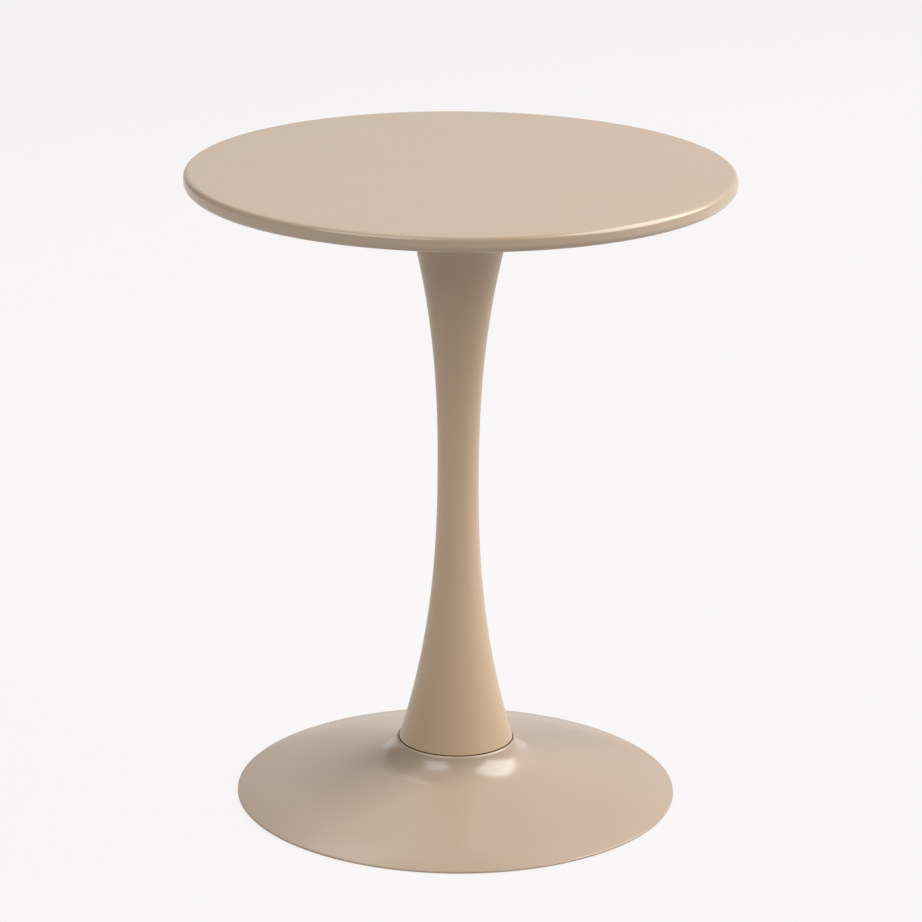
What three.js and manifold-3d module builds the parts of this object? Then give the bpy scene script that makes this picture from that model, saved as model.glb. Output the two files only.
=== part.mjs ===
// A round cafe table on a trumpet-shaped pedestal.
// Millimetres, +Z up, origin on the floor at the pedestal's axis.
//
// A lacquered disc top is screwed to a steel plate. One long tie rod pulls that plate, a column tube hidden
// in the trumpet stem, and the spun base together against the cast ballast, and a sheet closes the underside.

import * as THREE from "three";
import { mergeVertices } from "three/addons/utils/BufferGeometryUtils.js";
import Module from "manifold-3d";

const wasm = await Module();
wasm.setup();

// ---- Driving dimensions ----

const GAP = 0.3; // clearance between pieces that touch

const TABLE_HEIGHT = 720;
const TOP_RADIUS = 300;
const TOP_THICKNESS = 18;
const TOP_UPPER_ROUND = 6;
const TOP_LOWER_ROUND = 8;

const WAIST_RADIUS = 22.95; // the stem's narrowest place
const WAIST_HEIGHT = 378;
const STEM_FOOT = { radius: 64, z: 64.8 }; // it ends here, a shadow line above the collar
const STEM_HEAD = { radius: 65.9, z: 697.4 };
const STEM_FLARE = 2.33; // exponent of the stem's widening away from its waist
const STEM_WALL = 2.5;

const BASE_RADIUS = 247;
const BASE_WALL = 2.5;
const BASE_SLOPE = THREE.MathUtils.degToRad(12.8);
const RIM_BOTTOM = 0.8;
const RIM_TOP = 3.3;
const RIM_ROUND = 1;
const NECK_RADIUS = 67.6; // outside of the collar that takes the stem's foot, where the fillet ends
const NECK_FILLET = 36.5;
const NECK_STEEPNESS = 72; // degrees from the horizontal, where the fillet ends
const COLLAR_BORE = 64.7;
const LIP_ROUND = 2.4;
const GASKET = { outer: 63, width: 5.5, height: 6.7 };
const LEDGE_TOP = 57.5; // floor of the collar's recess

const TOP_PLATE = { radius: 120, thickness: 4.2 };
const TOP_FIXINGS = { count: 6, pitchRadius: 100 };
const INSERT = { radius: 5, bore: 3.2, length: 11.7 };
const TOP_SCREW = { shank: 2.9, length: 14.8, head: 5.5, headHeight: 3, socket: 2.3 };

const TUBE = { radius: 19, wall: 2.5 };
const ROD_RADIUS = 6; // M12
const ROD_BOTTOM = 7.6;
const SPIGOT = { radius: 16.2, length: 20, flange: 30, flangeHeight: 6 };
const CENTRING_RING = { height: 6, inset: 8 };

const FLOOR_PLATE = { radius: 226, bottom: 3, thickness: 1.5, hatch: 24 };
const RIM_SEAL = { width: 5.1, bottom: 2.4, height: 1.5 };
const BALLAST = { radius: 140, bottom: 6, thickness: 10, boss: 40, pocket: 21, pocketTop: 26 };
const BALLAST_FIXINGS = { count: 6, pitchRadius: 110 };
const PLATE_SCREW = { shank: 2.4, length: 10.3, head: 4.5, headHeight: 1.6, socket: 1.8 };
const FLOOR_PADS = { count: 6, pitchRadius: 200, radius: 14, bevel: 0.8 };
const NUT = { acrossFlats: 19, height: 10 };
const WASHER = { radius: 18, thickness: 3 };
const LOCK_WASHER = { radius: 10.5, thickness: 2.5, split: 2 };
const HATCH_CAP = { flange: 27, flangeHeight: 1.3, plugHeight: 3 };

const LARGE = 48; // sides of the top and the base
const STEM_SIDES = 40;
const MEDIUM = 20;
const SMALL = 10;

// ---- Heights that follow from them ----

const topUnderside = TABLE_HEIGHT - TOP_THICKNESS;
const topPlateTop = topUnderside - GAP;
const topPlateBottom = topPlateTop - TOP_PLATE.thickness;
const stemTop = topPlateBottom - GAP;
const gasketBottom = LEDGE_TOP + GAP;
const gasketTop = gasketBottom + GASKET.height;
const stemBottom = gasketTop + GAP;
const ledgeBottom = LEDGE_TOP - BASE_WALL;
const headSpigotTop = topPlateBottom - GAP;
const tubeTop = headSpigotTop - SPIGOT.flangeHeight - GAP;
const footSpigotBottom = LEDGE_TOP + GAP;
const tubeBottom = footSpigotBottom + SPIGOT.flangeHeight + GAP;
const boreRadius = ROD_RADIUS + GAP;
const padTop = FLOOR_PLATE.bottom - GAP;

// ---- Materials ----

const paint = (color, roughness) => new THREE.MeshStandardMaterial({ color, roughness, metalness: 0 });
const metal = (color, roughness) => new THREE.MeshStandardMaterial({ color, roughness, metalness: 1 });

const topLacquer = paint(0xcbb9a6, 0.45);
const pedestalPaint = paint(0xb9a48f, 0.5);
const blackRubber = paint(0x1b1b1c, 0.85);
const blackNylon = paint(0x242425, 0.6);
const castIron = metal(0x4a4a4c, 0.7);
const zincSteel = metal(0xb4b7ba, 0.35);
const rawSteel = metal(0x85888b, 0.45);
const brass = metal(0xb08d4a, 0.35);

// ---- Building blocks ----

const table = new THREE.Group();

// Points of an arc in a profile, angles in degrees, from the outside of a piece counter-clockwise.
function arc(centreR, centreZ, radius, from, to, steps) {
  return Array.from({ length: steps + 1 }, (_, i) => {
    const angle = THREE.MathUtils.degToRad(from + ((to - from) * i) / steps);
    return [centreR + radius * Math.cos(angle), centreZ + radius * Math.sin(angle)];
  });
}

// A profile of [radius, z] points, counter-clockwise, turned about the Z axis.
function turned(profile, sides) {
  const onAxis = profile[0][0] === 0;
  const closed = onAxis ? profile : [...profile, profile[0]];
  const points = closed.map(([r, z]) => new THREE.Vector2(r, z));
  return new THREE.LatheGeometry(points, sides).rotateX(Math.PI / 2);
}

function disc(radius, bottom, top, sides) {
  return turned([[0, bottom], [radius, bottom], [radius, top], [0, top]], sides);
}

function ring(inner, outer, bottom, top, sides) {
  return turned([[outer, bottom], [outer, top], [inner, top], [inner, bottom]], sides);
}

function toSolid(geometry) {
  const bare = new THREE.BufferGeometry();
  const source = geometry.index ? geometry.toNonIndexed() : geometry;
  bare.setAttribute("position", source.getAttribute("position"));
  const merged = mergeVertices(bare, 1e-3);
  return new wasm.Manifold(
    new wasm.Mesh({
      numProp: 3,
      vertProperties: merged.attributes.position.array,
      triVerts: new Uint32Array(merged.index.array),
    }),
  );
}

function toGeometry(solid) {
  const mesh = solid.getMesh();
  const geometry = new THREE.BufferGeometry();
  geometry.setAttribute("position", new THREE.BufferAttribute(mesh.vertProperties, 3));
  geometry.setIndex(new THREE.BufferAttribute(mesh.triVerts, 1));
  geometry.computeVertexNormals();
  return geometry;
}

function cut(geometry, tools) {
  return toGeometry(tools.reduce((solid, tool) => solid.subtract(toSolid(tool)), toSolid(geometry)));
}

function add(name, geometry, material, x = 0, y = 0, z = 0) {
  const mesh = new THREE.Mesh(geometry, material);
  mesh.name = name;
  mesh.position.set(x, y, z);
  table.add(mesh);
}

// The places of a ring of fixings, as [number, x, y].
function around({ count, pitchRadius }, offsetDegrees = 0) {
  return Array.from({ length: count }, (_, i) => {
    const angle = (2 * Math.PI * i) / count + THREE.MathUtils.degToRad(offsetDegrees);
    return [i + 1, pitchRadius * Math.cos(angle), pitchRadius * Math.sin(angle)];
  });
}

// A screw whose head hangs below z = 0 and whose shank rises above it, with a hexagon socket in the head.
function socketScrew({ shank, length, head, headHeight, socket }) {
  const edge = headHeight / 3;
  const body = turned(
    [[0, -headHeight], [head - edge, -headHeight], [head, -headHeight + edge], [head, 0],
      [shank, 0], [shank, length - 1], [shank - 1, length], [0, length]],
    SMALL,
  );
  return cut(body, [disc(socket, -headHeight - 1, -headHeight * 0.35, 6)]);
}

// ---- Top ----

function tabletop() {
  const wide = TOP_RADIUS;
  const upper = TABLE_HEIGHT - TOP_UPPER_ROUND;
  const lower = topUnderside + TOP_LOWER_ROUND;
  const profile = [
    [0, topUnderside],
    ...arc(wide - TOP_LOWER_ROUND, lower, TOP_LOWER_ROUND, -90, 0, 3),
    ...arc(wide - TOP_UPPER_ROUND, upper, TOP_UPPER_ROUND, 0, 90, 3),
    [0, TABLE_HEIGHT],
  ];
  const hole = disc(INSERT.radius + GAP, topUnderside - 1, topUnderside + INSERT.length + 2 * GAP, SMALL);
  const holes = around(TOP_FIXINGS).map(([, x, y]) => hole.clone().translate(x, y, 0));
  add("tabletop", cut(turned(profile, LARGE), holes), topLacquer);
}

function topFixings() {
  const insert = ring(INSERT.bore, INSERT.radius, 0, INSERT.length, SMALL);
  const screw = socketScrew(TOP_SCREW);
  for (const [n, x, y] of around(TOP_FIXINGS)) {
    add("top_insert_" + n, insert, brass, x, y, topUnderside + GAP);
    add("top_screw_" + n, screw, zincSteel, x, y, topPlateBottom - GAP);
  }
}

function topPlate() {
  const { radius } = TOP_PLATE;
  const edge = 1;
  const profile = [
    [0, topPlateBottom],
    [radius - edge, topPlateBottom],
    [radius, topPlateBottom + edge],
    [radius, topPlateTop],
    [0, topPlateTop],
  ];
  const hole = disc(TOP_SCREW.shank + 0.5, topPlateBottom - 1, topPlateTop + 1, SMALL);
  const holes = around(TOP_FIXINGS).map(([, x, y]) => hole.clone().translate(x, y, 0));
  add("top_plate", cut(turned(profile, LARGE), holes), rawSteel);
}

// ---- Pedestal ----

function stemRadius(z) {
  const end = z < WAIST_HEIGHT ? STEM_FOOT : STEM_HEAD;
  const along = Math.abs((z - WAIST_HEIGHT) / (end.z - WAIST_HEIGHT));
  return WAIST_RADIUS + (end.radius - WAIST_RADIUS) * along ** STEM_FLARE;
}

// The stem's inside radius, one wall thickness in along the surface's normal.
function stemBore(z) {
  const slope = stemRadius(z + 0.5) - stemRadius(z - 0.5);
  return stemRadius(z) - STEM_WALL * Math.hypot(1, slope);
}

function stem() {
  const steps = 12;
  const heights = Array.from({ length: steps + 1 }, (_, i) => stemBottom + ((stemTop - stemBottom) * i) / steps);
  const outside = heights.map((z) => [stemRadius(z), z]);
  const inside = heights.map((z) => [stemBore(z), z]).reverse();
  add("stem", turned([...outside, ...inside], STEM_SIDES), pedestalPaint);
}

function column() {
  const bore = TUBE.radius - TUBE.wall;
  add("column_tube", ring(bore, TUBE.radius, tubeBottom, tubeTop, MEDIUM), rawSteel);

  const rodTop = headSpigotTop - SPIGOT.flangeHeight - GAP;
  add("tie_rod", disc(ROD_RADIUS, ROD_BOTTOM, rodTop, SMALL), zincSteel);

  const { radius, length, flange, flangeHeight } = SPIGOT;
  const flangeBottom = headSpigotTop - flangeHeight;
  const head = [
    [0, flangeBottom - length],
    [radius, flangeBottom - length],
    [radius, flangeBottom],
    [flange, flangeBottom],
    [flange, headSpigotTop],
    [0, headSpigotTop],
  ];
  const rodHole = disc(boreRadius, flangeBottom - length - 1, flangeBottom, SMALL);
  add("head_spigot", cut(turned(head, MEDIUM), [rodHole]), rawSteel);

  const flangeTop = footSpigotBottom + flangeHeight;
  const foot = [
    [flange, footSpigotBottom],
    [flange, flangeTop],
    [radius, flangeTop],
    [radius, flangeTop + length],
    [boreRadius, flangeTop + length],
    [boreRadius, footSpigotBottom],
  ];
  add("foot_spigot", turned(foot, MEDIUM), rawSteel);
}

// Nylon rings that hold the stem concentric with the column tube.
function centringRings() {
  const { height, inset } = CENTRING_RING;
  const hole = TUBE.radius + 0.4;
  const headBottom = stemTop - inset - height - SPIGOT.flangeHeight;
  const footBottom = stemBottom + inset;
  const headOuter = stemBore(headBottom) - GAP;
  const footOuter = stemBore(footBottom + height) - GAP;
  add("stem_head_ring", ring(hole, headOuter, headBottom, headBottom + height, MEDIUM), blackNylon);
  add("stem_foot_ring", ring(hole, footOuter, footBottom, footBottom + height, MEDIUM), blackNylon);
}

function stemGasket() {
  const { outer, width } = GASKET;
  add("stem_gasket", ring(outer - width, outer, gasketBottom, gasketTop, MEDIUM), blackRubber);
}

// ---- Base ----

// Height of the base cone's outside, and the fillet that carries it into the collar.
const coneHeight = (r) => RIM_TOP + (BASE_RADIUS - r) * Math.tan(BASE_SLOPE);
const neckOut = Math.sin(THREE.MathUtils.degToRad(NECK_STEEPNESS));
const neckUp = Math.cos(THREE.MathUtils.degToRad(NECK_STEEPNESS));
const filletR = NECK_RADIUS + NECK_FILLET * neckOut;
const filletZ = coneHeight(filletR) + NECK_FILLET / Math.cos(BASE_SLOPE);
const lipR = filletR - (NECK_FILLET + LIP_ROUND) * neckOut;
const lipZ = filletZ - (NECK_FILLET + LIP_ROUND) * neckUp;

function baseShell() {
  const slope = THREE.MathUtils.radToDeg(BASE_SLOPE);
  const wallDrop = BASE_WALL / Math.cos(BASE_SLOPE);
  const rimInside = BASE_RADIUS - BASE_WALL;
  const ledgeHole = SPIGOT.radius;
  const innerFillet = NECK_FILLET + BASE_WALL;
  const ledgeAngle = THREE.MathUtils.radToDeg(Math.asin((filletZ - ledgeBottom) / innerFillet));
  const profile = [
    [BASE_RADIUS, RIM_BOTTOM],
    ...arc(BASE_RADIUS - RIM_ROUND, RIM_TOP - RIM_ROUND, RIM_ROUND, 0, 90 - slope, 2),
    ...arc(filletR, filletZ, NECK_FILLET, 270 - slope, 270 - NECK_STEEPNESS, 5),
    ...arc(lipR, lipZ, LIP_ROUND, 90 - NECK_STEEPNESS, 90, 2).slice(1),
    [COLLAR_BORE, lipZ + LIP_ROUND],
    [COLLAR_BORE, LEDGE_TOP],
    [ledgeHole, LEDGE_TOP],
    [ledgeHole, ledgeBottom],
    ...arc(filletR, filletZ, innerFillet, 180 + ledgeAngle, 270 - slope, 3),
    [rimInside, coneHeight(rimInside) - wallDrop],
    [rimInside, RIM_BOTTOM],
  ];
  add("base_shell", turned(profile, LARGE), pedestalPaint);
}

function ballast() {
  const { radius, bottom, thickness, boss, pocket, pocketTop } = BALLAST;
  const bore = boreRadius + 0.5;
  const bossTop = ledgeBottom - GAP;
  const top = bottom + thickness;
  const profile = [
    [radius, bottom],
    [radius, top - 2],
    [radius - 2, top],
    [boss + 6, top],
    [boss, top + 6],
    [boss, bossTop],
    [bore, bossTop],
    [bore, pocketTop],
    [pocket, pocketTop],
    [pocket, bottom],
  ];
  const hole = disc(PLATE_SCREW.shank + GAP, bottom - 1, top - 2, SMALL);
  const holes = around(BALLAST_FIXINGS, 30).map(([, x, y]) => hole.clone().translate(x, y, 0));
  add("ballast_disc", cut(turned(profile, LARGE), holes), castIron);
}

// Washer, split lock washer and nut that pull the tie rod down inside the ballast's pocket.
function clampNut() {
  const washerBottom = BALLAST.pocketTop - GAP - WASHER.thickness;
  const lockBottom = washerBottom - GAP - LOCK_WASHER.thickness;
  const nutBottom = lockBottom - GAP - NUT.height;
  const washerTop = washerBottom + WASHER.thickness;
  const lockTop = lockBottom + LOCK_WASHER.thickness;
  add("clamp_washer", ring(boreRadius, WASHER.radius, washerBottom, washerTop, MEDIUM), zincSteel);

  const split = new THREE.BoxGeometry(LOCK_WASHER.radius * 2, LOCK_WASHER.split, LOCK_WASHER.thickness * 3);
  split.translate(LOCK_WASHER.radius, 0, lockBottom);
  const spring = ring(boreRadius, LOCK_WASHER.radius, lockBottom, lockTop, MEDIUM);
  add("lock_washer", cut(spring, [split]), zincSteel);

  const corner = NUT.acrossFlats / Math.sqrt(3);
  const hexagon = disc(corner, nutBottom, nutBottom + NUT.height, 6);
  const thread = disc(boreRadius, nutBottom - 1, nutBottom + NUT.height + 1, SMALL);
  add("clamp_nut", cut(hexagon, [thread]), zincSteel);
}

function underside() {
  const { radius, bottom, thickness, hatch } = FLOOR_PLATE;
  const hole = disc(PLATE_SCREW.shank + 0.4, bottom - 1, bottom + thickness + 1, SMALL);
  const holes = around(BALLAST_FIXINGS, 30).map(([, x, y]) => hole.clone().translate(x, y, 0));
  add("floor_plate", cut(ring(hatch, radius, bottom, bottom + thickness, LARGE), holes), zincSteel);

  const screw = socketScrew(PLATE_SCREW);
  for (const [n, x, y] of around(BALLAST_FIXINGS, 30)) {
    add("plate_screw_" + n, screw, zincSteel, x, y, bottom - GAP);
  }

  const sealInner = radius + GAP;
  const sealTop = RIM_SEAL.bottom + RIM_SEAL.height;
  add("rim_seal", ring(sealInner, sealInner + RIM_SEAL.width, RIM_SEAL.bottom, sealTop, LARGE), blackRubber);

  const { flange, flangeHeight, plugHeight } = HATCH_CAP;
  const flangeTop = bottom - GAP;
  const cap = [
    [0, flangeTop - flangeHeight],
    [flange, flangeTop - flangeHeight],
    [flange, flangeTop],
    [hatch - GAP, flangeTop],
    [hatch - GAP, flangeTop + plugHeight],
    [0, flangeTop + plugHeight],
  ];
  add("hatch_cap", turned(cap, MEDIUM), blackNylon);
}

function floorPads() {
  const { radius, bevel } = FLOOR_PADS;
  const pad = turned([[0, 0], [radius - bevel, 0], [radius, bevel], [radius, padTop], [0, padTop]], MEDIUM);
  for (const [n, x, y] of around(FLOOR_PADS)) {
    add("floor_pad_" + n, pad, blackRubber, x, y, 0);
  }
}

tabletop();
topFixings();
topPlate();
stem();
column();
centringRings();
stemGasket();
baseShell();
ballast();
clampNut();
underside();
floorPads();

export default table;
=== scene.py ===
# %% [markdown]
# # A round cafe table on a trumpet pedestal
#
# The table is a lacquered disc on a waisted stem, whose foot sits in the collar of a shallow cone base.
# Everything on it is turned: each piece is a profile carried round the vertical axis. The CAD frame gives
# the places and sizes, and this script works out fine surfaces and finishes around it.

# %% Load the frame
import math

import bpy
import numpy as np
from mathutils import Matrix, Vector


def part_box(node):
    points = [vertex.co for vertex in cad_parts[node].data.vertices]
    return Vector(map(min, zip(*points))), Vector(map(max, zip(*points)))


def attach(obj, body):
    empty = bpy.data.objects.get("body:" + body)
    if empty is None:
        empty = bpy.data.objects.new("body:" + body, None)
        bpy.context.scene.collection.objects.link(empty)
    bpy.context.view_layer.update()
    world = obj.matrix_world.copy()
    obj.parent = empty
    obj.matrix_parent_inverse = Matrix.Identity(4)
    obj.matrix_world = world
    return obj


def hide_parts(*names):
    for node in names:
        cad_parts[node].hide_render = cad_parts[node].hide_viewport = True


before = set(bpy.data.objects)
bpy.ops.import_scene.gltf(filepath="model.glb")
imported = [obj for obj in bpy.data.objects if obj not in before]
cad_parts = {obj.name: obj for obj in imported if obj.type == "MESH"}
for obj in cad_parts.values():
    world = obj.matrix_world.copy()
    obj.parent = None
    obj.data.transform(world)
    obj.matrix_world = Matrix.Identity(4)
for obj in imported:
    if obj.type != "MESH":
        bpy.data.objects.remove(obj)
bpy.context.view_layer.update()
MM = 0.001
BODY = "root"
print("CAD nodes:", len(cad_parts))

# %% [markdown]
# ## Camera
#
# A long lens far away keeps the top's ellipse and the base's ellipse nearly the same shape, as a furniture
# catalogue does. The camera looks at a point halfway up the table and a little down on it, and the small
# pan, tilt and roll are those of a camera set on a tripod by hand.

# %% Camera
LENS_MM, SENSOR_MM = 153.77, 36
DISTANCE = 4.3694
AIM_HEIGHT = 0.36
ELEVATION, PAN, TILT, ROLL = map(math.radians, (17.71, -0.0395, 0.3677, 0.5014))

camera = bpy.data.objects.new("camera", bpy.data.cameras.new("camera"))
camera.data.lens = LENS_MM
camera.data.sensor_width = SENSOR_MM
place = Matrix.Translation((0, -DISTANCE * math.cos(ELEVATION), AIM_HEIGHT + DISTANCE * math.sin(ELEVATION)))
aim = Matrix.Rotation(math.pi / 2 - ELEVATION, 4, "X")
hand = Matrix.Rotation(PAN, 4, "Y") @ Matrix.Rotation(TILT, 4, "X") @ Matrix.Rotation(ROLL, 4, "Z")
camera.matrix_world = place @ aim @ hand
bpy.context.scene.collection.objects.link(camera)
bpy.context.scene.camera = camera
print("camera at", tuple(round(v, 3) for v in camera.location))

# %% [markdown]
# ## How a turned piece is made
#
# A lathe follows a profile. Here the profile is a list of corners, each with the radius of its rounding,
# because no real edge is a knife edge and the rounding is what catches the light. The profile is then
# carried round the axis on a grid of profile point by angle.


# %% Profiles with rounded corners
def rounded(corners, steps=6, closed=False, guard=0.15):
    """Points of an outline whose corners (r, z, rounding) are replaced by arcs tangent to both sides.

    For a corner with half angle h between its sides, the arc starts rounding / tan(h) before the corner and
    ends as far after it, and its centre lies rounding / sin(h) away along the bisector. A guard point just
    outside each end of the arc keeps the flat beside it flat when it is shaded smooth.
    """
    count = len(corners)
    outline = []
    for i, (r, z, rounding) in enumerate(corners):
        corner = np.array([r, z])
        if rounding == 0 or (not closed and i in (0, count - 1)):
            outline.append(corner[None])
            continue
        before = np.array(corners[i - 1][:2]) - corner
        after = np.array(corners[(i + 1) % count][:2]) - corner
        before = before / np.linalg.norm(before)
        after = after / np.linalg.norm(after)
        half = math.acos(np.clip(before @ after, -1, 1)) / 2
        bisector = (before + after) / np.linalg.norm(before + after)
        centre = corner + bisector * rounding / math.sin(half)
        reach = rounding / math.tan(half)
        start = corner + before * reach - centre
        end = corner + after * reach - centre
        sweep = math.pi - 2 * half
        t = np.linspace(0, 1, steps + 1)[:, None]
        turn = (np.sin((1 - t) * sweep) * start + np.sin(t * sweep) * end) / math.sin(sweep)
        outline.append((corner + before * (reach + guard))[None])
        outline.append(centre + turn)
        outline.append((corner + after * (reach + guard))[None])
    return np.concatenate(outline)


# %% A grid carried round the axis
def ring_faces(first, second):
    """Quads between two rings of vertex numbers, wrapping at the last one."""
    return np.stack([first, np.roll(first, -1), np.roll(second, -1), second], axis=-1)


def turned(name, profile, sides=192, closed=False, wobble=None, at=(0, 0)):
    """A mesh of (r cos a, r sin a, z) for every profile point (r, z) in mm and every angle a.

    Ends on the axis close with a fan round one vertex, and a closed profile joins its last point to its first.
    wobble, when given, is a function of (row, angle) that scales the radius, as a hexagon's does.
    """
    angle = np.arange(sides) * (2 * math.pi / sides)
    r, z = np.asarray(profile, float).T
    on_axis = r < 1e-6
    rows = np.flatnonzero(~on_axis)
    radius = r[rows, None] * np.ones(sides)
    if wobble is not None:
        radius = radius * wobble(rows[:, None], angle[None, :])
    grid = np.stack(
        [at[0] + radius * np.cos(angle), at[1] + radius * np.sin(angle), z[rows, None] + 0 * radius], -1
    )
    verts = grid.reshape(-1, 3)
    ids = np.arange(len(verts)).reshape(len(rows), sides)
    if closed:
        quads = ring_faces(ids, np.roll(ids, -1, axis=0))
    else:
        quads = ring_faces(ids[:-1], ids[1:])
    faces = quads.reshape(-1, 4).tolist()
    for end, row, flip in ((0, 0, True), (len(r) - 1, -1, False)):
        if not closed and on_axis[end]:
            pole = len(verts)
            verts = np.vstack([verts, [at[0], at[1], z[end]]])
            edge = np.stack([ids[row], np.roll(ids[row], -1), np.full(sides, pole)], -1)
            faces += (edge[:, ::-1] if flip else edge).tolist()
    return new_piece(name, verts * MM, faces)


SHARP_EDGE = math.radians(35)


def new_piece(name, verts, faces):
    """Puts arrays into a mesh object at the origin, smooth but for edges sharper than 35 degrees."""
    mesh = bpy.data.meshes.new(name)
    mesh.from_pydata(verts.tolist(), [], faces)
    mesh.shade_smooth()
    mesh.set_sharp_from_angle(angle=SHARP_EDGE)
    mesh.validate()
    piece = bpy.data.objects.new(name, mesh)
    bpy.context.scene.collection.objects.link(piece)
    return piece


def in_place_of(piece, node, material):
    """The piece gets its finish, rides on the table's one body, stands for its CAD node and takes its slot."""
    piece.data.materials.clear()
    piece.data.materials.append(material)
    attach(piece, BODY)
    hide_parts(node)
    print(piece.name, "stands for", node, "with", len(piece.data.polygons), "faces")


# %% Heights and radii read from the frame, in mm
def size_of(node):
    """(largest radius about the axis, bottom, top) of a CAD node centred on the axis."""
    low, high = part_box(node)
    return high.x / MM, low.z / MM, high.z / MM


top_radius, top_bottom, table_height = size_of("tabletop")
base_radius, rim_bottom, collar_top = size_of("base_shell")
stem_head_radius, stem_bottom, stem_top = size_of("stem")
print("top", top_radius, "base", base_radius, "height", table_height)

# %% [markdown]
# ## Finishes
#
# The paint is greige, in three materials that differ a little. On the top it is a lacquer, rubbed smooth, with a
# faint orange peel. On the base it is a powder coat, baked on metal, with a finer grain. On the stem it is the
# same powder coat, more matt. Its body colour is made warmer and lighter than the base's: painted light,
# standing in for how the stem looks in the shade under the top. All are dielectric paints: a brown body colour
# with a pale reflection over it, which is why the top, seen at a low angle, looks paler than the stem.


# %% A material and its texture coordinates
def finish(name, color, roughness, metallic=0.0, **sockets):
    """A Principled material. Plain values go on the shader's own sockets."""
    material = bpy.data.materials.new(name)
    material.use_nodes = True
    shader = material.node_tree.nodes["Principled BSDF"]
    shader.inputs["Base Color"].default_value = (*color, 1)
    shader.inputs["Roughness"].default_value = roughness
    shader.inputs["Metallic"].default_value = metallic
    for socket, value in sockets.items():
        shader.inputs[socket.replace("_", " ").title().replace("Ior", "IOR")].default_value = value
    return material


def node(material, kind, **settings):
    """A node whose settings are its own properties, or its inputs where the name is an input's."""
    made = material.node_tree.nodes.new(kind)
    for key, value in settings.items():
        if key in made.inputs:
            made.inputs[key].default_value = value
        else:
            setattr(made, key, value)
    return made


def wire(material, source, output, target, entry):
    material.node_tree.links.new(source.outputs[output], target.inputs[entry])


def grain(material, feature_mm, detail=2.0, stretch=(1, 1, 1)):
    """Noise on Object coordinates, in blobs about feature_mm across. stretch lengthens them along an axis."""
    place = node(material, "ShaderNodeTexCoord")
    scale = node(material, "ShaderNodeMapping", Scale=tuple(1 / s for s in stretch))
    noise = node(material, "ShaderNodeTexNoise", Scale=1000 / feature_mm, Detail=detail)
    wire(material, place, "Object", scale, "Vector")
    wire(material, scale, "Vector", noise, "Vector")
    return noise


NOISE_LOW, NOISE_HIGH = 0.3, 0.7  # nearly all of a noise's values lie between these


def vary_color(material, noise, dark, light):
    """The body colour wanders between dark and light with the noise."""
    shader = material.node_tree.nodes["Principled BSDF"]
    ramp = node(material, "ShaderNodeValToRGB")
    ramp.color_ramp.elements[0].position = NOISE_LOW
    ramp.color_ramp.elements[1].position = NOISE_HIGH
    ramp.color_ramp.elements[0].color = (*dark, 1)
    ramp.color_ramp.elements[1].color = (*light, 1)
    wire(material, noise, "Fac", ramp, "Fac")
    wire(material, ramp, "Color", shader, "Base Color")


def vary_roughness(material, noise, low, high):
    """The roughness wanders between low and high with the noise."""
    shader = material.node_tree.nodes["Principled BSDF"]
    span = node(material, "ShaderNodeMapRange")
    span.inputs["From Min"].default_value = NOISE_LOW
    span.inputs["From Max"].default_value = NOISE_HIGH
    span.inputs["To Min"].default_value = low
    span.inputs["To Max"].default_value = high
    wire(material, noise, "Fac", span, "Value")
    wire(material, span, "Result", shader, "Roughness")


def relief(material, layers):
    """Bumps stacked on each other: each layer is (noise node, height in mm)."""
    shader = material.node_tree.nodes["Principled BSDF"]
    below = None
    for noise, height_mm in layers:
        bump = node(material, "ShaderNodeBump", Strength=1.0, Distance=height_mm * MM)
        wire(material, noise, "Fac", bump, "Height")
        if below is not None:
            wire(material, below, "Normal", bump, "Normal")
        below = bump
    wire(material, below, "Normal", shader, "Normal")


def tint(color, factor):
    return tuple(channel * factor for channel in color)


# %% [markdown]
# ## Paints
#
# A body colour is never quite even: pigment settles in clouds a hand wide, so it wanders by a percent. The gloss
# wanders too, where the film is a little thicker.

# %% Lacquer and powder coat
PAINT_IOR = 1.45
CLOUD_MM, COLOR_WANDER = 90, 0.01
GLOSS_PATCH_MM, GLOSS_WANDER = 40, 0.004
LACQUER_GREIGE = (0.30, 0.224, 0.158)
# The stem's body colour is warmer and lighter than the base coat's: painted light for the stem shaded under the
# top
STEM_GREIGE_WITH_PAINTED_LIGHT = (0.36, 0.257, 0.167)
BASE_GREIGE = (0.302, 0.230, 0.170)


def paint(name, color, roughness, peel_mm, peel_height, dust_mm, dust_height):
    """Paint with a wavy peel and a finer grain in it, both given by size and height in mm."""
    material = finish(name, color, roughness, ior=PAINT_IOR)
    clouds = grain(material, CLOUD_MM, detail=3.0)
    vary_color(material, clouds, tint(color, 1 - COLOR_WANDER), tint(color, 1 + COLOR_WANDER))
    gloss = grain(material, GLOSS_PATCH_MM)
    vary_roughness(material, gloss, roughness - GLOSS_WANDER, roughness + GLOSS_WANDER)
    relief(material, [(grain(material, peel_mm), peel_height), (grain(material, dust_mm), dust_height)])
    return material


top_lacquer = paint(
    "greige_lacquer", LACQUER_GREIGE, 0.24, peel_mm=2.4, peel_height=0.004, dust_mm=0.5, dust_height=0.0006
)
# The stem's coat carries painted light in its body colour: warmer and lighter than the base's, for the shaded
# stem
stem_coat = paint(
    "greige_stem_coat_painted_light", STEM_GREIGE_WITH_PAINTED_LIGHT, 0.34, peel_mm=1.6, peel_height=0.005, dust_mm=0.35, dust_height=0.0012
)
base_coat = paint(
    "greige_base_coat", BASE_GREIGE, 0.25, peel_mm=1.6, peel_height=0.003, dust_mm=0.35, dust_height=0.0008
)


# %% [markdown]
# ## Hidden metals and rubber
#
# What the underside shows is hardware: zinc-plated sheet and screws, an oiled steel plate, a casting, nylon and
# rubber. Each has the mark of how it was made: rolled sheet is brushed one way, a casting is pitted, moulded
# nylon has a fine spark-eroded skin.


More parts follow.
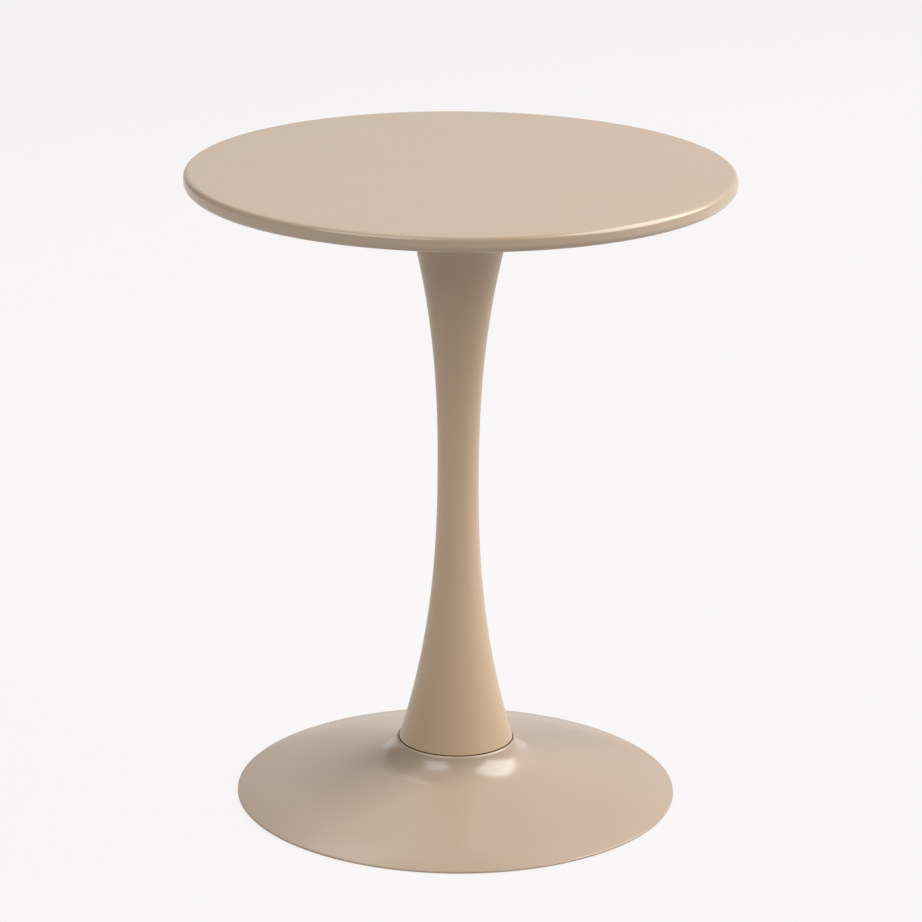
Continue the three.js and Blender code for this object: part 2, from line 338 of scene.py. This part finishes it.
# %% Hardware finishes
def metal(name, color, roughness, feature_mm, height_mm, stretch=(1, 1, 1)):
    """Bare or plated metal whose sheen is uneven at the scale of its grain."""
    material = finish(name, color, roughness, metallic=1.0)
    noise = grain(material, feature_mm, detail=4.0, stretch=stretch)
    vary_color(material, noise, tint(color, 0.9), tint(color, 1.05))
    vary_roughness(material, noise, roughness * 0.8, roughness * 1.2)
    relief(material, [(noise, height_mm)])
    return material


def dull(name, color, roughness, feature_mm, height_mm):
    """Rubber, nylon or primer: a dark matt body with a moulded or cast skin."""
    material = finish(name, color, roughness, ior=1.5)
    noise = grain(material, feature_mm, detail=5.0)
    vary_color(material, noise, tint(color, 0.8), tint(color, 1.25))
    vary_roughness(material, noise, roughness - 0.06, min(1.0, roughness + 0.06))
    relief(material, [(noise, height_mm)])
    return material


zinc_steel = metal("zinc_plate", (0.62, 0.63, 0.65), 0.34, 1.2, 0.002, stretch=(30, 1, 1))
zinc_screws = metal("zinc_screws", (0.60, 0.61, 0.64), 0.28, 0.8, 0.001)
oiled_steel = metal("oiled_steel", (0.30, 0.31, 0.33), 0.40, 6.0, 0.004)
brass = metal("turned_brass", (0.72, 0.54, 0.25), 0.30, 0.6, 0.001, stretch=(1, 1, 4))
cast_iron = dull("primed_cast_iron", (0.09, 0.09, 0.10), 0.70, 2.0, 0.12)
black_rubber = dull("black_rubber", (0.020, 0.020, 0.021), 0.80, 0.8, 0.010)
black_nylon = dull("black_nylon", (0.028, 0.028, 0.030), 0.52, 0.5, 0.006)


# %% [markdown]
# ## Holes
#
# A drilled plate is the one shape here that a turned profile can't give, so a Boolean modifier takes the bores
# out of it, as a drill does, and its result becomes the mesh.


# %% Drilling
DRILL_SIDES = 48
OVERRUN = 1.0  # how far a drill goes past the faces it breaks through, in mm


def drilled(piece, radius, bottom, top, centres):
    """Takes upright bores of one radius out of a piece, at each (x, y) in mm, from bottom to top."""
    for number, centre in enumerate(centres):
        bore = [(0, bottom), (radius, bottom), (radius, top), (0, top)]
        drill = turned(f"drill_{number}", bore, DRILL_SIDES, at=centre)
        hole = piece.modifiers.new(drill.name, "BOOLEAN")
        hole.operation = "DIFFERENCE"
        hole.solver = "EXACT"
        hole.object = drill
    graph = bpy.context.evaluated_depsgraph_get()
    result = bpy.data.meshes.new_from_object(piece.evaluated_get(graph))
    drills = [modifier.object for modifier in piece.modifiers]
    piece.modifiers.clear()
    piece.data = result
    result.set_sharp_from_angle(angle=SHARP_EDGE)
    for drill in drills:
        bpy.data.objects.remove(drill)


def centre_of(node_name):
    """(x, y) of the middle of a CAD node, in mm."""
    low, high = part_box(node_name)
    return (low.x + high.x) / 2 / MM, (low.y + high.y) / 2 / MM


def numbered(stem_name):
    """The frame's nodes with that name and a number, in order."""
    return sorted(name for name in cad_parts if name.startswith(stem_name + "_") and name[-1].isdigit())


# %% [markdown]
# ## The top
#
# A disc of fibreboard, its edge run on a spindle moulder: the upper rounding is a little smaller than the
# lower one. The underside has blind holes for the inserts that the screws go into.

# %% Tabletop
UPPER_ROUND, LOWER_ROUND = 6, 8
INSERT_BORE, INSERT_ROOM = 5.3, 0.3
board_corners = [
    (0, top_bottom, 0),
    (top_radius, top_bottom, LOWER_ROUND),
    (top_radius, table_height, UPPER_ROUND),
    (0, table_height, 0),
]
tabletop = turned("tabletop_board", rounded(board_corners, steps=16), sides=384)
insert_places = [centre_of(name) for name in numbered("top_insert")]
_, _, insert_top = size_of("top_insert_1")
drilled(tabletop, INSERT_BORE, top_bottom - OVERRUN, insert_top + INSERT_ROOM, insert_places)
in_place_of(tabletop, "tabletop", top_lacquer)

# %% [markdown]
# ## The stem
#
# The trumpet widens from its waist like a power of the distance: slowly at first, then ever faster. One
# exponent serves both ways, so the upper and lower flares are sisters.

# %% Stem
WAIST_RADIUS, WAIST_HEIGHT, FLARE = 22.95, 378.0, 2.33
FOOT_RADIUS, FOOT_HEIGHT = 64.0, 64.8
HEAD_RADIUS, HEAD_HEIGHT = 65.9, 697.4
STEM_WALL = 2.5


def stem_radius(z):
    """Waist radius plus the end's extra radius times (distance from the waist / the end's distance) ** flare."""
    below = z < WAIST_HEIGHT
    end_radius = np.where(below, FOOT_RADIUS, HEAD_RADIUS)
    end_height = np.where(below, FOOT_HEIGHT, HEAD_HEIGHT)
    along = np.abs((z - WAIST_HEIGHT) / (end_height - WAIST_HEIGHT))
    return WAIST_RADIUS + (end_radius - WAIST_RADIUS) * along**FLARE


def offset_inwards(outline, wall):
    """Every point of an upward outline moved along its inward normal by the wall's thickness."""
    along = np.gradient(outline, axis=0)
    along /= np.linalg.norm(along, axis=1)[:, None]
    return outline + wall * np.stack([-along[:, 1], along[:, 0]], -1)


heights = np.linspace(stem_bottom, stem_top, 201)
outside = np.stack([stem_radius(heights), heights], -1)
inside = offset_inwards(outside, STEM_WALL)[::-1]
inside[:, 1] = np.clip(inside[:, 1], stem_bottom, stem_top)
stem = turned("trumpet_stem", np.concatenate([outside, inside]), closed=True)
in_place_of(stem, "stem", stem_coat)

# %% [markdown]
# ## The base
#
# A sheet of steel spun over a wooden former: a thin rim, a shallow cone, a fillet that turns up into the collar,
# and a lip rolled over the collar's edge. The stem stands on a rubber ring in the collar's recess, and a thin
# shadow line is left between the stem's foot and the lip.

# %% Base shell
BASE_WALL, RIM_TOP, RIM_ROUND, RIM_BREAK = 2.5, 3.3, 1.0, 0.4
CONE_RADII = (200, 150, 110)
SLOPE = math.radians(12.8)
NECK_RADIUS, NECK_STEEPNESS, FILLET = 67.6, math.radians(72), 36.5
COLLAR_BORE, LEDGE_TOP = 64.7, 57.5
LIP_ROUND, BORE_ROUND = 2.4, 0.3
LEDGE_HOLE = 16.2


def arc(centre_r, centre_z, radius, start, end, steps):
    """Points at radius from a centre, at angles from start to end in radians, measured from outwards."""
    angle = np.linspace(start, end, steps + 1)
    return np.stack([centre_r + radius * np.cos(angle), centre_z + radius * np.sin(angle)], -1)


def cone_height(r):
    return RIM_TOP + (base_radius - r) * math.tan(SLOPE)


neck_normal = np.array([math.sin(NECK_STEEPNESS), math.cos(NECK_STEEPNESS)])
fillet_r = NECK_RADIUS + FILLET * neck_normal[0]
fillet_z = cone_height(fillet_r) + FILLET / math.cos(SLOPE)
lip_r, lip_z = np.array([fillet_r, fillet_z]) - (FILLET + LIP_ROUND) * neck_normal
ledge_bottom = LEDGE_TOP - BASE_WALL
inner_fillet = FILLET + BASE_WALL
rim_inside = base_radius - BASE_WALL
ledge_angle = math.pi + math.asin((fillet_z - ledge_bottom) / inner_fillet)
quarter = math.pi / 2
shell_profile = np.concatenate(
    [
        [(base_radius - RIM_BREAK, rim_bottom), (base_radius, rim_bottom + RIM_BREAK)],
        arc(base_radius - RIM_ROUND, RIM_TOP - RIM_ROUND, RIM_ROUND, 0, quarter - SLOPE, 8),
        [(r, cone_height(r)) for r in (base_radius - 1.6 * RIM_ROUND, *CONE_RADII)],
        arc(fillet_r, fillet_z, FILLET, 3 * quarter - SLOPE, 3 * quarter - NECK_STEEPNESS, 40),
        arc(lip_r, lip_z, LIP_ROUND, quarter - NECK_STEEPNESS, quarter, 12)[1:],
        arc(COLLAR_BORE + BORE_ROUND, collar_top - BORE_ROUND, BORE_ROUND, quarter, math.pi, 4),
        [(COLLAR_BORE, LEDGE_TOP), (LEDGE_HOLE, LEDGE_TOP), (LEDGE_HOLE, ledge_bottom)],
        arc(fillet_r, fillet_z, inner_fillet, ledge_angle, 3 * quarter - SLOPE, 16),
        [(rim_inside, cone_height(rim_inside) - BASE_WALL / math.cos(SLOPE)), (rim_inside, rim_bottom)],
    ]
)
base_shell = turned("base_cone", shell_profile, sides=320, closed=True)
in_place_of(base_shell, "base_shell", base_coat)

# %% [markdown]
# ## Plates, caps and pads
#
# These are turned too. Sheet metal has edges broken by a file, and rubber and nylon have soft moulded edges.


# %% Rings and discs
GUARD = 0.2  # distance of the guard points beside a rounding, as a share of it


def ring(name, inner, outer, bottom, top, rounding, sides=128):
    """A flat ring with four rounded edges."""
    corners = [(r, z, rounding) for r, z in ((outer, bottom), (outer, top), (inner, top), (inner, bottom))]
    return turned(name, rounded(corners, 4, closed=True, guard=rounding * GUARD), sides, closed=True)


def disc(name, radius, bottom, top, rounding, at=(0, 0), sides=96):
    """A flat disc with two rounded edges."""
    corners = [(0, bottom, 0), (radius, bottom, rounding), (radius, top, rounding), (0, top, 0)]
    return turned(name, rounded(corners, 5, guard=rounding * GUARD), sides, at=at)


# %% Steel plate under the top
plate_radius, plate_bottom, plate_top = size_of("top_plate")
PLATE_BORE = 3.4
plate = disc("top_plate_disc", plate_radius, plate_bottom, plate_top, 0.8, sides=192)
drilled(plate, PLATE_BORE, plate_bottom - OVERRUN, plate_top + OVERRUN, insert_places)
in_place_of(plate, "top_plate", oiled_steel)

# %% Sheet that closes the underside
HATCH_RADIUS, SHEET_BORE = 24, 2.8
floor_radius, floor_bottom, floor_top = size_of("floor_plate")
sheet = ring("floor_sheet", HATCH_RADIUS, floor_radius, floor_bottom, floor_top, 0.3, sides=256)
screw_places = [centre_of(name) for name in numbered("plate_screw")]
drilled(sheet, SHEET_BORE, floor_bottom - OVERRUN, floor_top + OVERRUN, screw_places)
in_place_of(sheet, "floor_plate", zinc_steel)

# %% Rim seal, gasket and hatch cap
seal_radius, seal_bottom, seal_top = size_of("rim_seal")
SEAL_GAP, GASKET_WIDTH = 0.3, 5.5
seal = ring("rim_seal_strip", floor_radius + SEAL_GAP, seal_radius, seal_bottom, seal_top, 0.5, sides=256)
in_place_of(seal, "rim_seal", black_rubber)

gasket_radius, gasket_bottom, gasket_top = size_of("stem_gasket")
gasket_bore = gasket_radius - GASKET_WIDTH
gasket = ring("foot_gasket", gasket_bore, gasket_radius, gasket_bottom, gasket_top, 0.4, sides=192)
in_place_of(gasket, "stem_gasket", black_rubber)

cap_radius, cap_bottom, cap_top = size_of("hatch_cap")
CAP_FLANGE, CAP_PLAY = 1.3, 0.3
plug_radius = HATCH_RADIUS - CAP_PLAY
cap_corners = [
    (0, cap_bottom, 0),
    (cap_radius, cap_bottom, 0.5),
    (cap_radius, cap_bottom + CAP_FLANGE, 0.3),
    (plug_radius, cap_bottom + CAP_FLANGE, 0),
    (plug_radius, cap_top, 0.5),
    (0, cap_top, 0),
]
cap = turned("hatch_cap_plug", rounded(cap_corners, 5, guard=0.1), 96)
in_place_of(cap, "hatch_cap", black_nylon)

# %% Floor pads
for number, name in enumerate(numbered("floor_pad"), 1):
    low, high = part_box(name)
    pad_radius = (high.x - low.x) / 2 / MM
    pad = disc(f"rubber_pad_{number}", pad_radius, low.z / MM, high.z / MM, 0.8, at=centre_of(name))
    in_place_of(pad, name, black_rubber)

# %% [markdown]
# ## Screws
#
# A socket screw is turned like the rest, and its hexagon socket is the same grid with the socket's rows pulled
# in to six flats. A hexagon's radius at angle a is the corner radius times cos 30 / cos (a mod 60 - 30).
# The screws go in from below, so their heads point down.


# %% Socket screws
def hexagon(angle):
    sixth = math.pi / 3
    return math.cos(sixth / 2) / np.cos(np.mod(angle, sixth) - sixth / 2)


SOCKET_DEPTH, HEAD_ROUND = 0.65, 0.35  # shares of the head's height
SOCKET_LIP, SHANK_CHAMFER = 0.25, 0.8
SOCKET_ROWS = 2  # the last profile row that is a hexagon


def socket_screw(name, node_name, head, head_height, shank, socket):
    """A screw in its CAD node's place. head, shank and socket are radii, and the socket's is to its corners."""
    low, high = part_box(node_name)
    bottom, top = low.z / MM, high.z / MM
    seat = bottom + head_height
    floor = bottom + SOCKET_DEPTH * head_height
    body = [
        (head, bottom, HEAD_ROUND * head_height),
        (head, seat, 0.1),
        (shank, seat, 0),
        (shank, top - SHANK_CHAMFER, 0),
        (shank - SHANK_CHAMFER, top, 0),
        (0, top, 0),
    ]
    socket_outline = [(0, floor), (socket, floor), (socket, bottom), (socket + SOCKET_LIP, bottom)]
    head_outline = rounded([(0, bottom, 0), *body], 5, guard=0.05)[1:]
    profile = np.concatenate([socket_outline, head_outline])

    def six_flats(row, angle):
        return np.where(row <= SOCKET_ROWS, hexagon(angle), 1.0)

    screw = turned(name, profile, 48, wobble=six_flats, at=centre_of(node_name))
    in_place_of(screw, node_name, zinc_screws)


for number, name in enumerate(numbered("top_screw"), 1):
    socket_screw(f"top_socket_screw_{number}", name, head=5.5, head_height=3.0, shank=2.9, socket=2.4)
for number, name in enumerate(numbered("plate_screw"), 1):
    socket_screw(f"sheet_socket_screw_{number}", name, head=4.5, head_height=1.6, shank=2.4, socket=1.9)

# %% [markdown]
# ## What stays as it is
#
# The hardware inside the pedestal keeps its CAD shape, because nobody sees it, and takes its finish here.

# %% Finishes for the hidden nodes
KEPT = {
    "top_insert": brass,
    "column_tube": oiled_steel,
    "head_spigot": oiled_steel,
    "foot_spigot": oiled_steel,
    "tie_rod": zinc_steel,
    "clamp_washer": zinc_screws,
    "lock_washer": zinc_screws,
    "clamp_nut": zinc_screws,
    "stem_head_ring": black_nylon,
    "stem_foot_ring": black_nylon,
    "ballast_disc": cast_iron,
}
for name, cad_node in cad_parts.items():
    for start, material in KEPT.items():
        if name.startswith(start):
            cad_node.data.materials.clear()
            cad_node.data.materials.append(material)

# %% [markdown]
# ## Studio
#
# The floor is a plain pale sweep. It glows, as an overlit studio floor does, so it lights the underside of the
# top and the stem from below. Soft boxes do the rest.

# %% Floor
FLOOR_RADIUS, FLOOR_LEVEL = 14000, -0.2
FLOOR_WHITE, FLOOR_GLOW = (1.0, 0.985, 0.985, 1), 0.85
floor = turned("studio_floor", [(0, FLOOR_LEVEL), (FLOOR_RADIUS, FLOOR_LEVEL)], 64)
floor_paint = finish("pale_floor", (0.05, 0.05, 0.05), 0.9)
floor_shader = floor_paint.node_tree.nodes["Principled BSDF"]
floor_shader.inputs["Specular IOR Level"].default_value = 0
floor_shader.inputs["Emission Color"].default_value = FLOOR_WHITE
floor_shader.inputs["Emission Strength"].default_value = FLOOR_GLOW
floor.data.materials.append(floor_paint)

# %% World
# The studio's walls are pale to look at but give the table little light, so that the soft boxes draw it.
WALL_COLOR = (1.0, 0.985, 0.985, 1)
WALL_SEEN, WALL_LIGHT = 0.93, 0.03

world = bpy.data.worlds.new("studio")
world.use_nodes = True
sky = world.node_tree
wall_light = sky.nodes["Background"]
wall_light.inputs["Color"].default_value = WALL_COLOR
wall_light.inputs["Strength"].default_value = WALL_LIGHT
wall_seen = sky.nodes.new("ShaderNodeBackground")
wall_seen.inputs["Color"].default_value = WALL_COLOR
wall_seen.inputs["Strength"].default_value = WALL_SEEN
ray = sky.nodes.new("ShaderNodeLightPath")
choice = sky.nodes.new("ShaderNodeMixShader")
sky.links.new(ray.outputs["Is Camera Ray"], choice.inputs["Fac"])
sky.links.new(wall_light.outputs["Background"], choice.inputs[1])
sky.links.new(wall_seen.outputs["Background"], choice.inputs[2])
sky.links.new(choice.outputs["Shader"], sky.nodes["World Output"].inputs["Surface"])
bpy.context.scene.world = world
bpy.context.scene.view_settings.view_transform = "Standard"

# %% [markdown]
# ## Soft boxes
#
# A soft box is placed by the direction it is seen in from the table: an azimuth, measured from the camera's side
# towards the right, and an elevation. Its width and height are angles too, and its strength is its radiance, the
# brightness of its cloth. So each box can be matched to the reflection it makes in the glossy paint: the big box
# on the right draws the bright flank and the highlight on the collar, and the small one on the left the dim one.

# %% Soft boxes
BOX_DISTANCE = 5.0
BOX_AIM = Vector((0, 0, 0.36))


def soft_box(name, azimuth, elevation, width, height, radiance):
    """A rectangle of light facing the table, of the given size in degrees as seen from it.

    A lamp of power P and area A that shines evenly over a half space has the radiance P / (pi A).
    """
    turn, rise = math.radians(azimuth), math.radians(elevation)
    outwards = Vector((math.sin(turn) * math.cos(rise), -math.cos(turn) * math.cos(rise), math.sin(rise)))
    lamp = bpy.data.lights.new(name, "AREA")
    lamp.shape = "RECTANGLE"
    lamp.size = 2 * BOX_DISTANCE * math.tan(math.radians(width / 2))
    lamp.size_y = 2 * BOX_DISTANCE * math.tan(math.radians(height / 2))
    lamp.energy = radiance * math.pi * lamp.size * lamp.size_y
    box = bpy.data.objects.new(name, lamp)
    box.location = BOX_AIM + outwards * BOX_DISTANCE
    box.rotation_euler = outwards.to_track_quat("Z", "Y").to_euler()
    box.visible_camera = False
    bpy.context.scene.collection.objects.link(box)
    print(name, "gives", round(lamp.energy), "W")


soft_box("right_box", azimuth=91, elevation=41, width=60, height=41, radiance=8.7)
soft_box("left_box", azimuth=-39, elevation=37, width=37, height=29, radiance=6.0)
soft_box("back_wall", azimuth=166, elevation=22, width=90, height=46, radiance=0.62)
soft_box("back_box", azimuth=175, elevation=56, width=60, height=22, radiance=0.9)
soft_box("ceiling", azimuth=-120, elevation=74, width=60, height=46, radiance=1.4)

# %% [markdown]
# ## Glow from the floor
#
# The big box on the right also lights the floor in front of it, and that patch shines back up, a little warm, on
# the right side of the top's edge and under the top. A lamp lying on the floor does the same.

# %% Floor glow
GLOW_SIDE, GLOW_RADIANCE = 3.0, 0.5
GLOW_PLACE, GLOW_COLOR = (2.4, 0.5, 0.01), (1.0, 0.88, 0.72)
patch = bpy.data.lights.new("floor_glow", "AREA")
patch.shape = "SQUARE"
patch.size = GLOW_SIDE
patch.color = GLOW_COLOR
patch.energy = GLOW_RADIANCE * math.pi * GLOW_SIDE**2
glow = bpy.data.objects.new("floor_glow", patch)
glow.location = GLOW_PLACE
glow.rotation_euler = (math.pi, 0, 0)
glow.visible_camera = False
bpy.context.scene.collection.objects.link(glow)
print("floor glow gives", round(patch.energy), "W")
